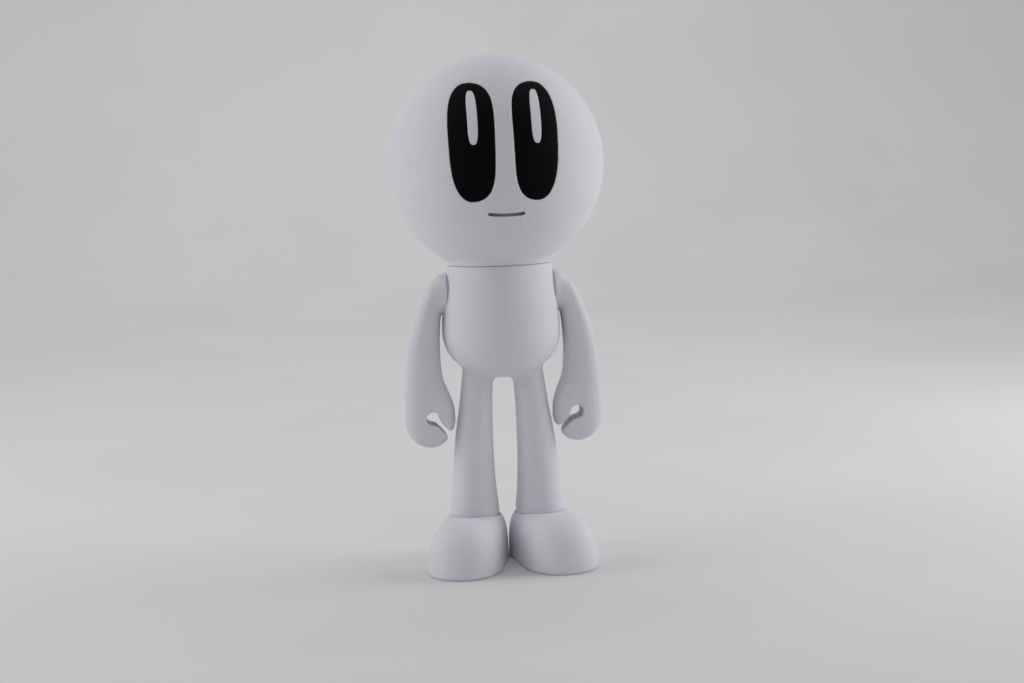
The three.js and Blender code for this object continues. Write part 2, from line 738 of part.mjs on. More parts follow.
function placeNeck(parent) {
  place(parent, "neck_post", neckPost(), steel());
  place(parent, "neck_bush", neckBush(), nylon());
  const washerTop = NECK_POST_BOTTOM - 0.4;
  const screwHeadTop = washerTop - 1 - GAP;
  const ring = tube(3.3, 6, NECK_POST_BOTTOM + 0.1, COLLAR.bottom - GAP);
  place(parent, "neck_friction_ring", ring, rubber());
  place(parent, "neck_washer", tube(1.8, 6.5, washerTop - 1, washerTop), steel());
  const screw = screwUp(1.5, 2.8, 1.8, screwHeadTop - 1.8, NECK_POST_BOTTOM + 5.9);
  place(parent, "neck_screw", screw, steel());
  place(parent, "collar_plate", collarPlate(), whitePrint());
  COLLAR_SCREW_PLACES.forEach(([x, y], i) => {
    const collarScrew = screwDown(1, 1.85, 1, COLLAR.top - 0.2, CHEST_CEILING_Z + 0.5, x, y);
    place(parent, `collar_screw_${i + 1}`, collarScrew, steel());
  });
}

function placeShoulder(parent, name, turn) {
  place(parent, `arm_${name}`, turn(arm()), whitePrint());
  place(parent, `shoulder_axle_${name}`, turn(shoulderAxle()), steel());
  place(parent, `shoulder_bush_${name}`, turn(shoulderBush()), nylon());
  place(parent, `shoulder_ring_${name}`, turn(shoulderRing()), rubber());
  place(parent, `shoulder_clip_${name}`, turn(shoulderClip()), steel());
}

function placeFoot(parent, name, side) {
  const foot = new THREE.Group();
  foot.position.x = side * ANKLE_X;
  foot.rotation.z = side * THREE.MathUtils.degToRad(TOE_OUT_DEG[name]);
  place(foot, `shoe_${name}`, shoe(), whitePrint());
  place(foot, `ankle_pin_${name}`, anklePin(), nylon());
  place(foot, `ankle_ring_${name}`, tube(3.3, 8, SOCKET_FLOOR_Z + GAP, 13.7), rubber());
  place(foot, `ankle_washer_${name}`, tube(1.8, 4.5, 3, 4), steel());
  place(foot, `ankle_screw_${name}`, screwUp(1.5, 2.8, 1.8, 0.9, 15), steel());
  parent.add(foot);
}

placeHead(figure);
placeNeck(figure);
place(figure, "body_shell", bodyShell(), whitePrint());
placeShoulder(figure, "left", (solid) => solid);
placeShoulder(figure, "right", mirrorX);
placeFoot(figure, "left", 1);
placeFoot(figure, "right", -1);

export default figure;
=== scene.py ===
import json
import math

import bmesh
import bpy
import numpy as np
from mathutils import Matrix, Vector


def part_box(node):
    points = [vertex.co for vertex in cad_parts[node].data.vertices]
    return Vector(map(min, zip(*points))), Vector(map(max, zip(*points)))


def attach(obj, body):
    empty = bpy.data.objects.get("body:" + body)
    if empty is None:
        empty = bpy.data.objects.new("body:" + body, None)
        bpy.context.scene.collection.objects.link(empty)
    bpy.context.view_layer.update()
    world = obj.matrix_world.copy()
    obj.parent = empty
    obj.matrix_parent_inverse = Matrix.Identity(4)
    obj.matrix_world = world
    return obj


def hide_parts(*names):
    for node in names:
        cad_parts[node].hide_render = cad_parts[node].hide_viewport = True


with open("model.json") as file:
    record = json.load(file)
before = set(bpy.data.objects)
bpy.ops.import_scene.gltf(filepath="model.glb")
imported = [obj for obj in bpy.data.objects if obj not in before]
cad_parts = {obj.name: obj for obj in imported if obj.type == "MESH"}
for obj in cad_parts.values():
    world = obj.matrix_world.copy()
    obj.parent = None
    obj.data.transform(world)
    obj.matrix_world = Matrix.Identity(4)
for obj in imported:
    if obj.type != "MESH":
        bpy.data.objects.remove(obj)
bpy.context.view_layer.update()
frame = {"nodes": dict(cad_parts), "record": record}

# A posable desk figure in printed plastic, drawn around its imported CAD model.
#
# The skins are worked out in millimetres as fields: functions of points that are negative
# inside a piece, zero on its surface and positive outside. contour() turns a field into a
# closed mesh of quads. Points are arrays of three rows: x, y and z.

MM = 0.001
SHARP_ANGLE = math.radians(55)


# ---------- Sizes from the frame, in millimetres ----------

def box_mm(node):
    low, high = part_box(node)
    return np.array(low) / MM, np.array(high) / MM


HEAD_LOW, HEAD_HIGH = box_mm("head_shell")
HEAD_RADIUS = (HEAD_HIGH[1] - HEAD_LOW[1]) / 2
HEAD_CENTRE_Z = HEAD_HIGH[2] - HEAD_RADIUS
NECK_SEAM_Z = HEAD_LOW[2]

BODY_LOW, BODY_HIGH = box_mm("body_shell")
TORSO_TOP_Z = BODY_HIGH[2]
LEG_BOTTOM_Z = BODY_LOW[2]

AXLE_LOW, AXLE_HIGH = box_mm("shoulder_axle_left")
SHOULDER_Z = (AXLE_LOW[2] + AXLE_HIGH[2]) / 2
AXLE_OUTER_X = AXLE_HIGH[0]
ARM_LOW, ARM_HIGH = box_mm("arm_left")
SHOULDER_FACE_X = ARM_LOW[0]

PIN_LOW, PIN_HIGH = box_mm("ankle_pin_left")
ANKLE_X = (PIN_LOW[0] + PIN_HIGH[0]) / 2
ANKLE_PIN_TOP = PIN_HIGH[2]

EYE_LOW, EYE_HIGH = box_mm("eye_left")
EYE_X = (EYE_LOW[0] + EYE_HIGH[0]) / 2
EYE_Z = (EYE_LOW[2] + EYE_HIGH[2]) / 2
LIGHT_LOW, LIGHT_HIGH = box_mm("eye_highlight_left")
RIGHT_LIGHT_LOW, RIGHT_LIGHT_HIGH = box_mm("eye_highlight_right")


# ---------- Fields ----------

def round_max(a, b, radius):
    """The overlap of two fields, with its edge rounded."""
    corner = np.hypot(np.maximum(radius + a, 0), np.maximum(radius + b, 0))
    return np.minimum(np.maximum(a, b), -radius) + corner


def round_min(a, b, radius):
    """Two fields joined, with a fillet where they meet."""
    return -round_max(-a, -b, radius)


def rod(p, radius, low, high, x=0.0, y=0.0):
    """An upright cylinder."""
    side = np.hypot(p[0] - x, p[1] - y) - radius
    return np.maximum(side, np.maximum(low - p[2], p[2] - high))


def cross_rod(p, radius, inner, outer):
    """A cylinder on the shoulders' axis, the same on both sides of the body."""
    side = np.hypot(p[1], p[2] - SHOULDER_Z) - radius
    across = np.abs(p[0])
    return np.maximum(side, np.maximum(inner - across, across - outer))


def gradient(field, p, reach=0.02):
    slopes = []
    for axis in range(3):
        offset = np.zeros((3, 1))
        offset[axis] = reach
        slopes.append((field(p + offset) - field(p - offset)) / (2 * reach))
    return np.array(slopes)


def as_distance(field, p):
    """A field scaled so that it rises by about a millimetre for each millimetre outwards."""
    steepness = np.linalg.norm(gradient(field, p), axis=0)
    return field(p) / np.maximum(steepness, 0.1)


def gauge(power, *ratios):
    """How far out a point is on a rounded box: 1 on its surface."""
    return sum(np.abs(ratio) ** power for ratio in ratios) ** (1 / power)


def along(stations, z):
    """Smooth values between stations, each a height and the values there."""
    rows = np.array(sorted(stations))
    heights = rows[:, 0]
    slopes = np.gradient(rows, heights, axis=0)
    i = np.clip(np.searchsorted(heights, z) - 1, 0, len(heights) - 2)
    span = heights[i + 1] - heights[i]
    t = np.clip((z - heights[i]) / span, 0, 1)
    rise = t * t * (3 - 2 * t)
    leave = t * (1 - t) ** 2 * span
    arrive = t * t * (t - 1) * span
    return [
        rows[i, k] * (1 - rise) + rows[i + 1, k] * rise + slopes[i, k] * leave + slopes[i + 1, k] * arrive
        for k in range(1, rows.shape[1])
    ]


def smooth_step(t):
    t = np.clip(t, 0, 1)
    return t * t * (3 - 2 * t)


def path_distance(p, path):
    """Distance to the nearest point of a chain of straight lines."""
    nearest = np.full(p.shape[1], np.inf)
    for start, end in zip(path[:-1], path[1:]):
        start = np.array(start, float)[:, None]
        run = np.array(end, float)[:, None] - start
        t = np.clip(((p - start) * run).sum(0) / (run * run).sum(), 0, 1)
        nearest = np.minimum(nearest, np.linalg.norm(p - start - t * run, axis=0))
    return nearest


def scar(p, path, height=0.16, width=0.24):
    """A hairline ridge, as a printer leaves where each layer starts."""
    return height * np.exp(-((path_distance(p, path) / width) ** 2))


# ---------- From field to mesh ----------

def crossings(values, axis):
    """Grid edges along an axis that pass through the surface: lower ends, places and sides."""
    size = values.shape[axis]
    before = values.take(range(size - 1), axis) < 0
    after = values.take(range(1, size), axis) < 0
    index = np.argwhere(before != after)
    ahead = index.copy()
    ahead[:, axis] += 1
    start = values[tuple(index.T)]
    end = values[tuple(ahead.T)]
    places = index.astype(float)
    places[:, axis] += start / (start - end)
    return index, places, start < 0


def contour(field, low, high, step):
    """A closed quad mesh of a field's surface, with one vertex in each grid cell it passes.
    Each vertex sits where the surface's tangent planes in its cell meet, so edges stay crisp."""
    axes = [np.arange(a - 1.5 * step, b + 2.5 * step, step) for a, b in zip(low, high)]
    origin = np.array([axis[0] for axis in axes])
    shape = [len(axis) for axis in axes]
    values = np.empty(shape)
    for i, x in enumerate(axes[0]):
        y, z = np.meshgrid(axes[1], axes[2], indexing="ij")
        values[i] = field(np.array([np.full(y.size, x), y.ravel(), z.ravel()])).reshape(y.shape)

    strides = np.array([shape[1] * shape[2], shape[2], 1])
    cells, places, outward = [], [], []
    for axis in range(3):
        index, where, rising = crossings(values, axis)
        corner = index @ strides
        u, w = strides[(axis + 1) % 3], strides[(axis + 2) % 3]
        cells.append(np.stack([corner - u - w, corner - w, corner, corner - u], 1))
        places.append(origin + where * step)
        outward.append(rising)
    cells, places = np.concatenate(cells), np.concatenate(places)
    outward = np.concatenate(outward)

    used, corners = np.unique(cells, return_inverse=True)
    corners = corners.reshape(cells.shape)
    normals = gradient(field, places.T).T
    normals /= np.maximum(np.linalg.norm(normals, axis=1, keepdims=True), 1e-9)

    def gather(weights):
        return np.bincount(corners.ravel(), np.repeat(weights, 4), len(used))

    middle = np.stack([gather(places[:, k]) for k in range(3)], 1)
    middle /= gather(np.ones(len(places)))[:, None]
    heights = (normals * places).sum(1)
    planes = np.empty((len(used), 3, 3))
    reach = np.empty((len(used), 3))
    for j in range(3):
        reach[:, j] = gather(normals[:, j] * heights)
        for k in range(3):
            planes[:, j, k] = gather(normals[:, j] * normals[:, k])
    reach -= np.einsum("njk,nk->nj", planes, middle)
    planes += 0.08 * np.eye(3)
    shift = np.linalg.solve(planes, reach[:, :, None])[:, :, 0]
    points = (middle + np.clip(shift, -0.7 * step, 0.7 * step)).T

    faces = np.where(outward[:, None], corners, corners[:, ::-1])
    return settled(field, points, 0.3 * step).T, faces


def settled(field, points, most):
    """Points moved onto a field's surface, each by no more than a given distance a step."""
    for _ in range(2):
        slope = gradient(field, points)
        move = field(points) * slope / np.maximum((slope * slope).sum(0), 0.05)
        points = points - np.clip(move, -most, most)
    return points


def refined(points, faces, field, paths, reach=0.9, cuts=3):
    """Splits the faces along some paths finely enough to show a hairline there."""
    mesh = bpy.data.meshes.new("coarse")
    mesh.from_pydata(points, [], faces)
    fine = bmesh.new()
    fine.from_mesh(mesh)
    bpy.data.meshes.remove(mesh)
    edges = list(fine.edges)
    middles = np.array([(edge.verts[0].co + edge.verts[1].co) / 2 for edge in edges]).T
    distance = np.min([path_distance(middles, path) for path in paths], axis=0)
    near = [edge for edge, away in zip(edges, distance) if away < reach]
    bmesh.ops.subdivide_edges(fine, edges=near, cuts=cuts, use_grid_fill=True)
    fine.verts.index_update()
    points = np.array([vertex.co for vertex in fine.verts]).T
    faces = [[vertex.index for vertex in face.verts] for face in fine.faces]
    fine.free()
    return settled(field, points, reach).T, faces


def piece(name, points, faces, body, slot, *nodes):
    """A smooth mesh object that rides on a body and stands for CAD nodes."""
    mesh = bpy.data.meshes.new(name)
    mesh.from_pydata(points * MM, [], faces)
    mesh.shade_smooth()
    mesh.set_sharp_from_angle(angle=SHARP_ANGLE)
    mesh.update()
    thing = bpy.data.objects.new(name, mesh)
    bpy.context.scene.collection.objects.link(thing)
    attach(thing, body)
    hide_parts(*nodes)
    return thing


def mirrored(points, faces):
    return points * (-1, 1, 1), faces[:, ::-1]


# ---------- Head ----------

HEAD_STEP, EYE_STEP, LIGHT_STEP = 0.62, 0.3, 0.16  # how fine each mesh is
NECK_STUB_RADIUS = 19.9
NECK_FILLET = 3.0
PLATE_SEAT_RADIUS = 16.6
PLATE_SEAT_TOP = box_mm("head_base_plate")[1][2] + 0.3
NECK_WAY_RADIUS = 12.5
NECK_WAY_TOP = 125.5

FACE_SHIFT = -0.3  # both eyes sit this far to the figure's right
EYE_ACROSS_POWER = 2.2
EYE_INNER_POWER, EYE_OUTER_POWER = 5.0, 3.0
EYE_TAPER = 0.045
EYE_HALF_HEIGHT = (EYE_HIGH[2] - EYE_LOW[2]) / 2
EYE_MARGIN = 1.0  # room for the shifted outline when its mesh is made
EYE_HALF_WIDTH = (EYE_HIGH[0] - EYE_LOW[0]) / 2
EYE_POCKET = 1.8
EYE_GAP = 0.1

LIGHT_POWER = 3.0
LIGHT_HALF_WIDTH = (LIGHT_HIGH[0] - LIGHT_LOW[0]) / 2
LIGHT_HALF_HEIGHT = (LIGHT_HIGH[2] - LIGHT_LOW[2]) / 2
LIGHT_X = (LIGHT_LOW[0] + LIGHT_HIGH[0] - RIGHT_LIGHT_LOW[0] - RIGHT_LIGHT_HIGH[0]) / 4
LIGHT_Z = (LIGHT_LOW[2] + LIGHT_HIGH[2]) / 2
LIGHT_SHIFT = 0.15  # both highlights sit this far to the figure's left
LIGHT_POCKET = 0.9
LIGHT_PROUD = 0.12

MOUTH_Z = 138.1
MOUTH_HALF_WIDTH = 6.9
MOUTH_RADIUS = 43.5
MOUTH_THICKNESS = 1.15
MOUTH_DEPTH = 4.0

HEAD_SCARS = [
    [(3.3, -19.9, 194.9), (4.5, -23.9, 192.4), (4.8, -27, 190)],
    [(8.6, -38.9, 142.7), (7.1, -38.1, 140.1), (5.9, -36.7, 136.8), (5.4, -34.9, 133.8)],
    [(-16.4, -31.6, 134.3), (-15, -27.9, 129.1), (-12.9, -23.4, 124.4), (-10.7, -17.8, 120.4)],
]


def from_head_centre(p):
    return np.sqrt(p[0] ** 2 + p[1] ** 2 + (p[2] - HEAD_CENTRE_Z) ** 2)


def eye_oval(p, side):
    """An upright oval seen from the front, squarer towards the middle of the face."""
    def oval(q):
        up = (q[2] - EYE_Z) / EYE_HALF_HEIGHT
        width = EYE_HALF_WIDTH * (1 + EYE_TAPER * np.clip(up, -1, 1))
        out = (side * (q[0] - FACE_SHIFT) - EYE_X) / width
        power = np.where(out < 0, EYE_INNER_POWER, EYE_OUTER_POWER)
        level = np.abs(out) ** EYE_ACROSS_POWER + np.abs(up) ** power
        return level ** (2 / (EYE_ACROSS_POWER + power)) - 1

    return np.maximum(as_distance(oval, p), p[1])


def light_oval(p, side):
    def oval(q):
        out = (q[0] - side * LIGHT_X - LIGHT_SHIFT) / LIGHT_HALF_WIDTH
        return gauge(LIGHT_POWER, out, (q[2] - LIGHT_Z) / LIGHT_HALF_HEIGHT) - 1

    return np.maximum(as_distance(oval, p), p[1])


def mouth_groove(p):
    drop = MOUTH_RADIUS - np.hypot(p[0], p[2] - MOUTH_Z - MOUTH_RADIUS)
    lips = np.abs(drop) - MOUTH_THICKNESS / 2
    ends = np.abs(p[0]) - MOUTH_HALF_WIDTH
    below_skin = HEAD_RADIUS - MOUTH_DEPTH - from_head_centre(p)
    return round_max(np.maximum(below_skin, p[1]), round_max(lips, ends, 0.5), 0.3)


def head_field(p):
    ball = from_head_centre(p) - HEAD_RADIUS
    stub = rod(p, NECK_STUB_RADIUS, NECK_SEAM_Z - 5, HEAD_CENTRE_Z)
    head = round_min(ball, stub, NECK_FILLET)
    head = round_max(head, NECK_SEAM_Z - p[2], 0.35)
    for path in HEAD_SCARS:
        head = head - scar(p, path)
    head = round_max(head, -mouth_groove(p), 0.25)
    pocket_floor = HEAD_RADIUS - EYE_POCKET - from_head_centre(p)
    for side in (-1, 1):
        pocket = np.maximum(eye_oval(p, side) - EYE_GAP, pocket_floor)
        head = round_max(head, -pocket, 0.25)
    plate_seat = rod(p, PLATE_SEAT_RADIUS, 0, PLATE_SEAT_TOP)
    neck_way = rod(p, NECK_WAY_RADIUS, 0, NECK_WAY_TOP)
    return np.maximum(head, -np.minimum(plate_seat, neck_way))


def eye_field(p, side):
    outside = from_head_centre(p) - HEAD_RADIUS
    plate = round_max(eye_oval(p, side), outside, 0.3)
    plate = np.maximum(plate, -outside - EYE_POCKET + EYE_GAP)
    recess = np.maximum(light_oval(p, side) - EYE_GAP, -outside - LIGHT_POCKET)
    return round_max(plate, -recess, 0.15)


def light_field(p, side):
    outside = from_head_centre(p) - HEAD_RADIUS
    plate = round_max(light_oval(p, side), outside - LIGHT_PROUD, 0.2)
    return np.maximum(plate, -outside - LIGHT_POCKET + EYE_GAP)


def make_head():
    points, faces = contour(head_field, HEAD_LOW, HEAD_HIGH, HEAD_STEP)
    points, faces = refined(points, faces, head_field, HEAD_SCARS)
    piece("head_skin", points, faces, "head", "white_print", "head_shell")
    for name, side in (("left", 1), ("right", -1)):
        low, high = box_mm(f"eye_{name}")
        low, high = low - EYE_MARGIN, high + EYE_MARGIN
        points, faces = contour(lambda p: eye_field(p, side), low, high, EYE_STEP)
        piece(f"eye_inlay_{name}", points, faces, "head", "black_print", f"eye_{name}")
        low, high = box_mm(f"eye_highlight_{name}")
        points, faces = contour(lambda p: light_field(p, side), low, high, LIGHT_STEP)
        piece(f"highlight_inlay_{name}", points, faces, "head", "white_print", f"eye_highlight_{name}")


# ---------- Body ----------

BODY_STEP = 0.55
# Height of each torso station, then its radius.
TORSO_STATIONS = [(92, 23.5), (96, 23.35), (102, 22.85), (108, 22.1), (113, 21.4), (TORSO_TOP_Z + 1, 20.8)]
BELLY_HEIGHT = 19.0
BELLY_POWER = 2.15
# Height of each leg station, then its distance from the middle and its radius.
LEG_STATIONS = [
    (84, 9.4, 5.2), (73, 10.3, 6.15), (62.6, 11.2, 6.6), (50, 12.3, 7.5), (38.7, 12.9, 8.2),
    (27.3, 13.2, 9.1), (20.5, ANKLE_X, 9.8), (18, ANKLE_X, 9.9), (LEG_BOTTOM_Z - 1, ANKLE_X, 9.9),
]
LEG_TOP_Z = 84
CROTCH_FILLET = 3.1
HIP_FILLET = 1.7
SHOULDER_SEAT_X = 20
SHOULDER_SEAT_RADIUS = 6.8
BUSH_BORE_RADIUS = 3.9
PIN_HOLE_RADIUS = 3.3
COLLAR_SEAT_RADIUS = 16.8
COLLAR_SEAT_BOTTOM = box_mm("collar_plate")[0][2] - 0.3
THROAT_RADIUS = 13
CHEST_RADIUS = 18.7
CHEST_FLOOR_Z, CHEST_CEILING_Z = 86, TORSO_TOP_Z - 6.8
BOSS_RADIUS, BOSS_INNER_X = 6.2, 11.9
BELLY_SCAR = [(0.9, -22.5, 105), (1.4, -23, 100), (2.7, -23.3, 92.7), (3.4, -22.5, 87.6), (4.1, -16.4, 78.3)]


def torso_gauge(p):
    belly_z = TORSO_STATIONS[0][0]
    radius, = along(TORSO_STATIONS, p[2])
    below = np.maximum(belly_z - p[2], 0) / BELLY_HEIGHT
    return (gauge(BELLY_POWER, np.hypot(p[0], p[1]) / radius, below) - 1) * radius


def body_field(p):
    torso = round_max(as_distance(torso_gauge, p), p[2] - TORSO_TOP_Z, 0.6)
    torso = torso - scar(p, BELLY_SCAR, 0.1)
    centre, radius = along(LEG_STATIONS, p[2])
    across = np.abs(p[0])
    leg = np.maximum(np.hypot(across - centre, p[1]) - radius, p[2] - LEG_TOP_Z)
    leg = round_max(leg, LEG_BOTTOM_Z - p[2], 0.35)
    inner_side = smooth_step((centre - across) / radius + 0.5)
    fillet = HIP_FILLET + (CROTCH_FILLET - HIP_FILLET) * inner_side
    body = round_min(torso, leg, fillet)

    chest = rod(p, CHEST_RADIUS, CHEST_FLOOR_Z, CHEST_CEILING_Z)
    chest = round_max(chest, CHEST_FLOOR_Z - p[2], 3)
    chest = np.maximum(chest, -cross_rod(p, BOSS_RADIUS, BOSS_INNER_X, SHOULDER_SEAT_X))
    throat = rod(p, THROAT_RADIUS, CHEST_CEILING_Z - 1, TORSO_TOP_Z + 5)
    collar_seat = rod(p, COLLAR_SEAT_RADIUS, COLLAR_SEAT_BOTTOM, TORSO_TOP_Z + 5)
    bore = cross_rod(p, BUSH_BORE_RADIUS, BOSS_INNER_X - 1, SHOULDER_SEAT_X + 1)
    hollow = np.minimum(np.minimum(chest, throat), np.minimum(collar_seat, bore))
    pin_hole = rod(np.array([across, p[1], p[2]]), PIN_HOLE_RADIUS, 0, ANKLE_PIN_TOP + 0.3, ANKLE_X)
    body = np.maximum(body, -np.minimum(hollow, pin_hole))
    seat = cross_rod(p, SHOULDER_SEAT_RADIUS, SHOULDER_SEAT_X, 40)
    return round_max(body, -seat, 0.4)


def make_body():
    points, faces = contour(body_field, BODY_LOW, BODY_HIGH, BODY_STEP)
    points, faces = refined(points, faces, body_field, [BELLY_SCAR])
    piece("body_skin", points, faces, "torso", "white_print", "body_shell")


# ---------- Arms ----------

ARM_STEP = 0.42
# Height of each station, then its distance from the middle and its half width.
ARM_STATIONS = [
    (109.5, 26.3, 3.1), (103, 27.9, 4.55), (98, 29.2, 5.25), (91.5, 30.45, 5.9), (85, 31.25, 6.5),
    (78, 31.6, 7.1), (72.8, 31.4, 7.6), (67.5, 30.6, 8.9), (62, 29.75, 9.8), (56.5, 29.6, 9.95),
]
ARM_TOP_Z, HAND_TOP_Z = ARM_STATIONS[0][0], ARM_STATIONS[-1][0]
ARM_HALF_DEPTH = ARM_HIGH[1]
ARM_POWER = 2.45
HAND_LENGTH = 10.75
DOME_RADIUS, DOME_LENGTH = 8.1, 8.4
GRIP_BOX = next(o["box_m"] for o in frame["record"]["physics"]["openings"] if o["name"] == "grip_left")
GRIP_X, _, GRIP_Z = (np.array(GRIP_BOX[0]) + GRIP_BOX[1]) / 2 / MM
GRIP_RADIUS, SLOT_HALF_WIDTH, SLOT_NECK = 2.65, 1.05, 3.9
SLOT_ANGLE = math.radians(-133)
TIP_RADIUS = 2.5
GRIP_EDGE = 0.9
WRIST_Z = 75
ARM_TOP_ROUND, SHOULDER_FILLET, INNER_EDGE = 2.0, 3.0, 0.35
AXLE_HOLE_RADIUS = 2.3
# Distance from the shoulder's axis, and how near the body's middle the arm may come there.
SWEEP = [(0, 0), (6.3, 0), (7.3, 1.8), (15.5, 2.5), (24, 2.5), (28, -3)]
# The top of the shoulder may come nearer, because it never turns down past the belly.
CAP_NEARER, CAP_SPREAD = 0.75, math.radians(42)


def arm_outline(p):
    """The arm seen from the front."""
    centre, half_width = along(ARM_STATIONS, p[2])
    below = np.maximum(HAND_TOP_Z - p[2], 0) / HAND_LENGTH
    return half_width, gauge(2, (p[0] - centre) / half_width, below)


def limb(p):
    half_width, outline = arm_outline(p)
    return (gauge(ARM_POWER, outline, p[1] / ARM_HALF_DEPTH) - 1) * half_width


def dome(p):
    from_axis = np.hypot(p[1], p[2] - SHOULDER_Z)
    out = np.maximum(p[0] - SHOULDER_FACE_X, 0)
    return (gauge(2, from_axis / DOME_RADIUS, out / DOME_LENGTH) - 1) * DOME_RADIUS


def grip_opening(p):
    """A round hole that narrows into a slot, seen from the front."""
    dx, dz = p[0] - GRIP_X, p[2] - GRIP_Z
    outwards = dx * math.cos(SLOT_ANGLE) + dz * math.sin(SLOT_ANGLE)
    across = np.abs(dz * math.cos(SLOT_ANGLE) - dx * math.sin(SLOT_ANGLE))
    narrowing = smooth_step(outwards / SLOT_NECK)
    half_width = GRIP_RADIUS + (SLOT_HALF_WIDTH - GRIP_RADIUS) * narrowing
    slot = np.maximum(across - half_width, -outwards)
    return np.minimum(np.hypot(dx, dz) - GRIP_RADIUS, slot)


def arm_field(p):
    body = round_max(as_distance(limb, p), p[2] - ARM_TOP_Z, ARM_TOP_ROUND)
    arm = round_min(body, as_distance(dome, p), SHOULDER_FILLET)
    half_width, outline = arm_outline(p)
    opening = grip_opening(p)
    fingers = round_max((outline - 1) * half_width, -opening, TIP_RADIUS)
    fingers = np.where(p[2] < WRIST_Z, fingers - smooth_step(opening / TIP_RADIUS - 1), -HAND_LENGTH)
    arm = round_max(arm, fingers, GRIP_EDGE)
    from_axis = np.hypot(p[1], p[2] - SHOULDER_Z)
    distances, depths = zip(*SWEEP)
    tilt = np.arctan2(np.abs(p[1]), p[2] - SHOULDER_Z)
    nearer = CAP_NEARER * smooth_step(1 - tilt / CAP_SPREAD)
    nearest = SHOULDER_FACE_X + np.interp(from_axis, distances, depths) * (1 - nearer)
    arm = round_max(arm, nearest - p[0], INNER_EDGE)
    return np.maximum(arm, -cross_rod(p, AXLE_HOLE_RADIUS, SHOULDER_FACE_X - 1, AXLE_OUTER_X + 0.3))


def make_arms():
    low = (ARM_LOW[0], -DOME_RADIUS, ARM_LOW[2])
    high = (ARM_HIGH[0], DOME_RADIUS, SHOULDER_Z + DOME_RADIUS)
    points, faces = contour(arm_field, low, high, ARM_STEP)
    piece("arm_skin_left", points, faces, "arm_left", "white_print", "arm_left")
    points, faces = mirrored(points, faces)
    piece("arm_skin_right", points, faces, "arm_right", "white_print", "arm_right")


# ---------- Shoes ----------

SHOE_STEP = 0.5
HEEL_RADIUS, HEEL_POWER = 13.1, 3.6
TOE_AHEAD = 20.3
TOE_HALF_WIDTH, TOE_HALF_LENGTH, TOE_POWER, TOE_SQUARENESS = 14.5, 17.3, 2.4, 2.17
SHOE_HEIGHT = 20.8
SOLE_EDGE, INSTEP_EDGE, SOCKET_EDGE, RECESS_EDGE = 0.9, 1.6, 0.3, 0.2
INSTEP_Z, INSTEP_RISE, INSTEP_START = 18.3, 0.23, 9.9
SOCKET_RADIUS, SOCKET_FLOOR_Z = 10.2, 12.4
SOLE_RECESS_RADIUS, SOLE_RECESS_TOP = 5, PIN_LOW[2]
TOE_OUT_DEGREES = {"left": 13.5, "right": 16.5}


def shoe_dome(p):
    """The shoe with the ankle's axis at the origin and the toe along -Y."""
    forward = np.clip(-p[1] / TOE_AHEAD, 0, 1)
    swell = smooth_step(forward)
    half_width = HEEL_RADIUS + (TOE_HALF_WIDTH - HEEL_RADIUS) * swell
    power = HEEL_POWER + (TOE_POWER - HEEL_POWER) * swell
    heel = np.maximum(p[1], 0) / HEEL_RADIUS
    toe = np.maximum(-p[1] - TOE_AHEAD, 0) / TOE_HALF_LENGTH
    squareness = 2 + (TOE_SQUARENESS - 2) * swell
    level = gauge(squareness, p[0] / half_width, heel + toe)
    return (gauge(power, level, np.maximum(p[2], 0) / SHOE_HEIGHT) - 1) * half_width


def shoe_field(p):
    shoe = round_max(as_distance(shoe_dome, p), -p[2], SOLE_EDGE)
    from_ankle = np.hypot(p[0], p[1])
    instep = INSTEP_Z + INSTEP_RISE * np.maximum(from_ankle - INSTEP_START, 0)
    shoe = round_max(shoe, (p[2] - instep) * 0.97, INSTEP_EDGE)
    shoe = round_max(shoe, -rod(p, SOCKET_RADIUS, SOCKET_FLOOR_Z, 40), SOCKET_EDGE)
    pin_way = rod(p, PIN_HOLE_RADIUS, SOLE_RECESS_TOP - 1, SOCKET_FLOOR_Z + 1)
    recess = rod(p, SOLE_RECESS_RADIUS, -5, SOLE_RECESS_TOP)
    return round_max(shoe, -np.minimum(pin_way, recess), RECESS_EDGE)


def make_shoes():
    low = (-TOE_HALF_WIDTH, -TOE_AHEAD - TOE_HALF_LENGTH, 0)
    high = (TOE_HALF_WIDTH, HEEL_RADIUS, SHOE_HEIGHT)
    points, faces = contour(shoe_field, low, high, SHOE_STEP)
    for name, side in (("left", 1), ("right", -1)):
        turn = np.array(Matrix.Rotation(side * math.radians(TOE_OUT_DEGREES[name]), 3, "Z"))
        placed = points @ turn.T + (side * ANKLE_X, 0, 0)
        piece(f"shoe_skin_{name}", placed, faces, f"foot_{name}", "white_print", f"shoe_{name}")


# ---------- Materials ----------

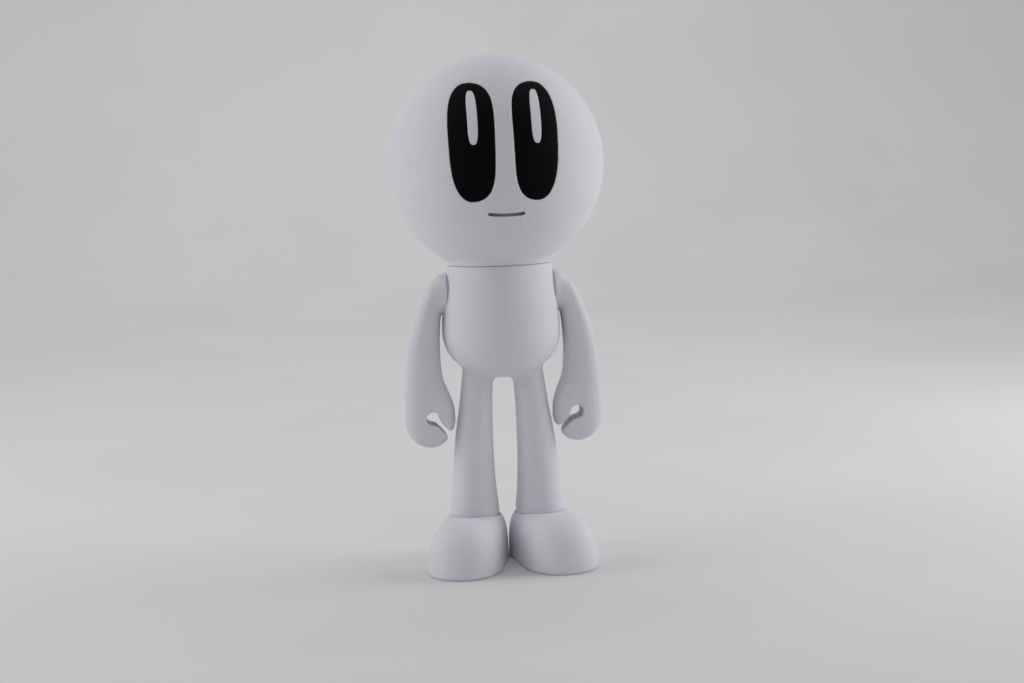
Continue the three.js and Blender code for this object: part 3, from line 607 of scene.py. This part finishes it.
class Nodes:
    """A short way to write a material's node tree."""

    def __init__(self, name):
        self.material = bpy.data.materials.new(name)
        self.material.use_nodes = True
        self.tree = self.material.node_tree
        self.shader = self.tree.nodes["Principled BSDF"]
        self.place = self.add("ShaderNodeTexCoord").outputs["Object"]

    def add(self, kind, **settings):
        node = self.tree.nodes.new(kind)
        for name, value in settings.items():
            if name in node.inputs:
                node.inputs[name].default_value = value
            else:
                setattr(node, name, value)
        return node

    def link(self, start, end):
        self.tree.links.new(start, end)

    def noise(self, scale, detail=3.0):
        node = self.add("ShaderNodeTexNoise", Scale=scale, Detail=detail)
        self.link(self.place, node.inputs["Vector"])
        return node.outputs["Fac"]

    def bands(self, direction, period):
        """Ridges of a given period in metres."""
        wave = self.add("ShaderNodeTexWave", bands_direction=direction, Scale=math.pi / 10 / period)
        self.link(self.place, wave.inputs["Vector"])
        return wave.outputs["Fac"]

    def ramp(self, factor, stops):
        node = self.add("ShaderNodeValToRGB")
        self.link(factor, node.inputs["Fac"])
        for element, (position, colour) in zip(node.color_ramp.elements, stops):
            element.position = position
            element.color = (*colour, 1)
        return node.outputs["Color"]

    def spread(self, factor, low, high):
        node = self.add("ShaderNodeMapRange")
        self.link(factor, node.inputs["Value"])
        node.inputs["To Min"].default_value = low
        node.inputs["To Max"].default_value = high
        return node.outputs["Result"]

    def bump(self, height, distance, strength=1.0, normal=None):
        node = self.add("ShaderNodeBump", Distance=distance, Strength=strength)
        self.link(height, node.inputs["Height"])
        if normal is not None:
            self.link(normal, node.inputs["Normal"])
        return node.outputs["Normal"]

    def finish(self, colour, roughness, normal, **values):
        self.link(colour, self.shader.inputs["Base Color"])
        self.link(roughness, self.shader.inputs["Roughness"])
        self.link(normal, self.shader.inputs["Normal"])
        for name, value in values.items():
            self.shader.inputs[name.replace("_", " ")].default_value = value
        return self.material


def tinted(colour, factor):
    return tuple(channel * factor for channel in colour)


WHITE = (0.79, 0.78, 0.845)
# Painted shade: the arms' white is made this much darker than the body's, standing in for the shade the arms
# are in.
ARM_PAINTED_SHADE = 0.94
LAYER = 0.0002  # metres between layer lines


def white_print(name, layer_axis, shade=1.0):
    """Matte white filament: layer lines, a fine powdery grain and faint uneven patches. A shade factor below
    1 darkens the whole colour as painted shade.
    """
    nodes = Nodes(name)
    patches = nodes.noise(45, 4)
    colour = nodes.ramp(patches, [(0.35, tinted(WHITE, 0.965 * shade)), (0.68, tinted(WHITE, shade))])
    layers = nodes.bands(layer_axis, LAYER)
    uneven = nodes.bands(layer_axis, LAYER * 7)
    normal = nodes.bump(layers, 0.000035)
    normal = nodes.bump(uneven, 0.00003, 0.6, normal)
    normal = nodes.bump(nodes.noise(2600, 2), 0.00007, 0.7, normal)
    roughness = nodes.spread(nodes.noise(320), 0.5, 0.66)
    return nodes.finish(colour, roughness, normal, Specular_IOR_Level=0.45, Sheen_Weight=0.06)


def black_print():
    """Matte black filament with fine dust."""
    nodes = Nodes("black_print")
    dust = nodes.noise(2100, 3)
    colour = nodes.ramp(dust, [(0.68, (0.0016, 0.0016, 0.0018)), (0.8, (0.03, 0.032, 0.035))])
    normal = nodes.bump(nodes.bands("Z", LAYER), 0.00002)
    normal = nodes.bump(nodes.noise(1500), 0.00003, 0.5, normal)
    roughness = nodes.spread(nodes.noise(260), 0.52, 0.68)
    return nodes.finish(colour, roughness, normal, Specular_IOR_Level=0.06)


def nylon():
    """Natural nylon with faint turning marks."""
    nodes = Nodes("nylon")
    colour = nodes.ramp(nodes.noise(180), [(0.3, (0.6, 0.56, 0.47)), (0.7, (0.7, 0.67, 0.58))])
    normal = nodes.bump(nodes.bands("Z", 0.00035), 0.00001, 0.6)
    roughness = nodes.spread(nodes.noise(600), 0.34, 0.5)
    return nodes.finish(colour, roughness, normal, Subsurface_Weight=0.1)


def rubber():
    """Soft black rubber with a fine pebbled skin and grey bloom."""
    nodes = Nodes("rubber")
    colour = nodes.ramp(nodes.noise(300), [(0.4, (0.016, 0.016, 0.018)), (0.75, (0.045, 0.045, 0.05))])
    normal = nodes.bump(nodes.noise(2400, 4), 0.00006, 0.8)
    roughness = nodes.spread(nodes.noise(500), 0.74, 0.9)
    return nodes.finish(colour, roughness, normal, Specular_IOR_Level=0.3)


def steel():
    """Zinc-plated steel: turning marks and a slightly cloudy plating."""
    nodes = Nodes("steel")
    colour = nodes.ramp(nodes.noise(240, 5), [(0.35, (0.46, 0.47, 0.49)), (0.7, (0.62, 0.63, 0.64))])
    normal = nodes.bump(nodes.bands("Z", 0.00022), 0.000008, 0.7)
    normal = nodes.bump(nodes.noise(1800), 0.00001, 0.5, normal)
    roughness = nodes.spread(nodes.noise(420, 4), 0.24, 0.42)
    return nodes.finish(colour, roughness, normal, Metallic=1.0)


def paper():
    """Pale seamless paper."""
    nodes = Nodes("paper")
    colour = nodes.ramp(nodes.noise(6, 2), [(0.3, (0.72, 0.72, 0.72)), (0.7, (0.75, 0.75, 0.75))])
    normal = nodes.bump(nodes.noise(900, 4), 0.0001, 0.3)
    roughness = nodes.spread(nodes.noise(200), 0.8, 0.92)
    return nodes.finish(colour, roughness, normal, Specular_IOR_Level=0.15)


def set_materials():
    upright = white_print("white_print", "Z")
    # The arms get a darker copy of the white print: painted shade.
    arms = white_print("white_print_arm_painted_shade", "Y", ARM_PAINTED_SHADE)
    by_slot = {
        "white_print": upright,
        "black_print": black_print(),
        "nylon": nylon(),
        "rubber": rubber(),
        "steel": steel(),
    }
    skins = {
        "head_skin": upright, "body_skin": upright,
        "shoe_skin_left": upright, "shoe_skin_right": upright,
        "arm_skin_left": arms, "arm_skin_right": arms,
        "eye_inlay_left": by_slot["black_print"], "eye_inlay_right": by_slot["black_print"],
        "highlight_inlay_left": upright, "highlight_inlay_right": upright,
    }
    for name, material in skins.items():
        bpy.data.objects[name].data.materials.append(material)
    for node in frame["nodes"].values():
        for holder in node.material_slots:
            holder.material = by_slot.get(holder.material.name.split(".")[0], upright)


# ---------- Floor, light and camera ----------

def make_backdrop():
    """A paper sweep: a floor that curves up into a wall behind the figure."""
    front, bend, radius, height, half_width = -2.0, 1.1, 0.5, 2.4, 2.2
    outline = [(front, 0.0), (bend, 0.0)]
    for i in range(1, 25):
        angle = math.pi / 2 * i / 24
        outline.append((bend + radius * math.sin(angle), radius - radius * math.cos(angle)))
    outline.append((bend + radius, height))
    points = [(x, y, z) for y, z in outline for x in (-half_width, half_width)]
    faces = [(2 * i, 2 * i + 1, 2 * i + 3, 2 * i + 2) for i in range(len(outline) - 1)]
    mesh = bpy.data.meshes.new("backdrop")
    mesh.from_pydata(points, [], faces)
    mesh.shade_smooth()
    mesh.materials.append(paper())
    sweep = bpy.data.objects.new("backdrop", mesh)
    bpy.context.scene.collection.objects.link(sweep)


def add_panel(name, place, aim, size, power, colour=(1, 1, 1)):
    light = bpy.data.lights.new(name, "AREA")
    light.shape = "RECTANGLE"
    light.size, light.size_y = size
    light.energy = power
    light.color = colour
    panel = bpy.data.objects.new(name, light)
    panel.location = place
    panel.rotation_euler = (Vector(aim) - Vector(place)).to_track_quat("-Z", "Y").to_euler()
    panel.visible_camera = False
    bpy.context.scene.collection.objects.link(panel)


def light_scene():
    head = (0, 0, HEAD_CENTRE_Z * MM)
    add_panel("left_softbox", (-0.65, 0.02, 0.3), head, (0.45, 0.45), 1.36)
    add_panel("right_softbox", (0.65, 0.02, 0.3), head, (0.45, 0.45), 1.9)
    add_panel("backdrop_light", (0, 0.6, 1.5), (0, 1.6, 0.4), (1.6, 0.5), 8.0)
    world = bpy.data.worlds.new("studio")
    world.use_nodes = True
    background = world.node_tree.nodes["Background"]
    background.inputs["Color"].default_value = (1, 1, 1, 1)
    background.inputs["Strength"].default_value = 0.415
    bpy.context.scene.world = world
    bpy.context.scene.view_settings.view_transform = "Standard"


LENS, SENSOR_WIDTH = 52.734, 36
CAMERA_DISTANCE = 0.59505
CAMERA_HEIGHT = 0.152218
CAMERA_YAW = math.radians(5.6)
CAMERA_PAN = math.radians(0.4)
CAMERA_PITCH = math.radians(6.27)
CAMERA_ROLL = math.radians(2.0)


def make_camera():
    lens = bpy.data.cameras.new("camera")
    lens.lens = LENS
    lens.sensor_width = SENSOR_WIDTH
    lens.clip_start = 0.01
    camera = bpy.data.objects.new("camera", lens)
    heading = CAMERA_YAW + CAMERA_PAN
    ahead = Vector((math.sin(heading) * math.cos(CAMERA_PITCH),
                    math.cos(heading) * math.cos(CAMERA_PITCH), -math.sin(CAMERA_PITCH)))
    right = Vector((math.cos(heading), -math.sin(heading), 0))
    up = right.cross(ahead)
    tilted_right = right * math.cos(CAMERA_ROLL) - up * math.sin(CAMERA_ROLL)
    tilted_up = right * math.sin(CAMERA_ROLL) + up * math.cos(CAMERA_ROLL)
    turn = Matrix((tilted_right, tilted_up, -ahead)).transposed()
    place = Vector((-math.sin(CAMERA_YAW), -math.cos(CAMERA_YAW), 0)) * CAMERA_DISTANCE
    place.z = CAMERA_HEIGHT
    camera.matrix_world = Matrix.Translation(place) @ turn.to_4x4()
    bpy.context.scene.collection.objects.link(camera)
    bpy.context.scene.camera = camera


make_camera()
make_backdrop()
light_scene()
make_head()
make_body()
make_arms()
make_shoes()
set_materials()
